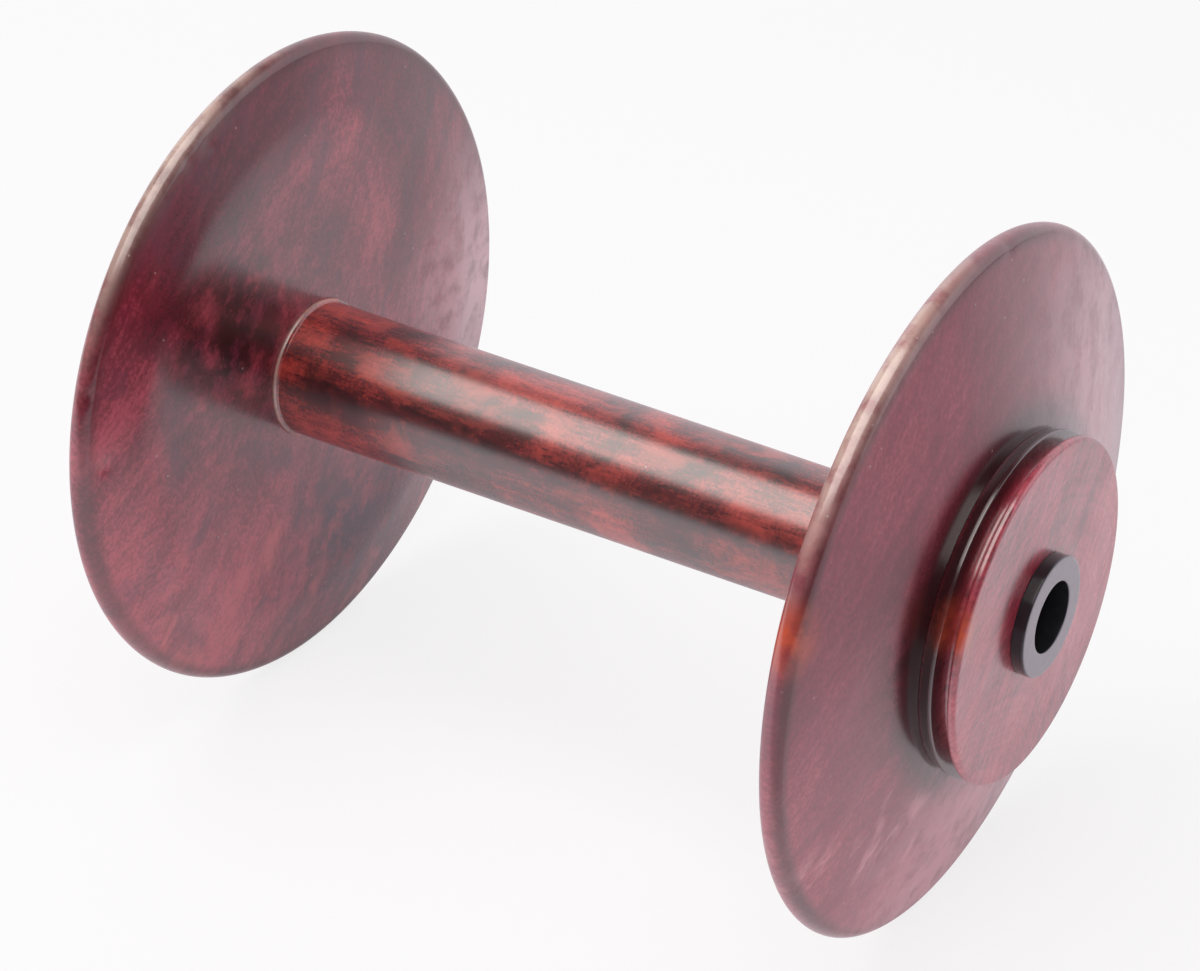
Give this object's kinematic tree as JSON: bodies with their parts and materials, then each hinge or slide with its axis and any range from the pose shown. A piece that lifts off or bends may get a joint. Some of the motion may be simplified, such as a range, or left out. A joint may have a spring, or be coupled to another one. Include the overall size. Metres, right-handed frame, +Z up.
{
  "type": "spinning wheel bobbin",
  "caption": "Wooden spinning wheel bobbin: flanged hollow barrel with a V-grooved drive pulley on one end and black plastic shaft bushes.",
  "frame": {"origin": "on the axis of rotation, half way between the outer faces of the two bushes", "axes": "+X along the axis of rotation, towards the drive pulley; +Z up when the bobbin lies on its two rims"},
  "size_m": [0.129, 0.1, 0.1],
  "materials": {
    "flange_wood": "red-brown stain under satin lacquer",
    "barrel_wood": "mottled red-brown stain under satin lacquer",
    "pulley_wood": "red-brown stain under satin lacquer, rubbed brighter at the lips",
    "bush_plastic": "satin black moulded plastic"
  },
  "bodies": {
    "root": {"rear_flange": "flange_wood", "barrel": "barrel_wood", "front_flange": "flange_wood", "drive_pulley": "pulley_wood", "rear_bush": "bush_plastic", "front_bush": "bush_plastic"}
  },
  "joints": []
}
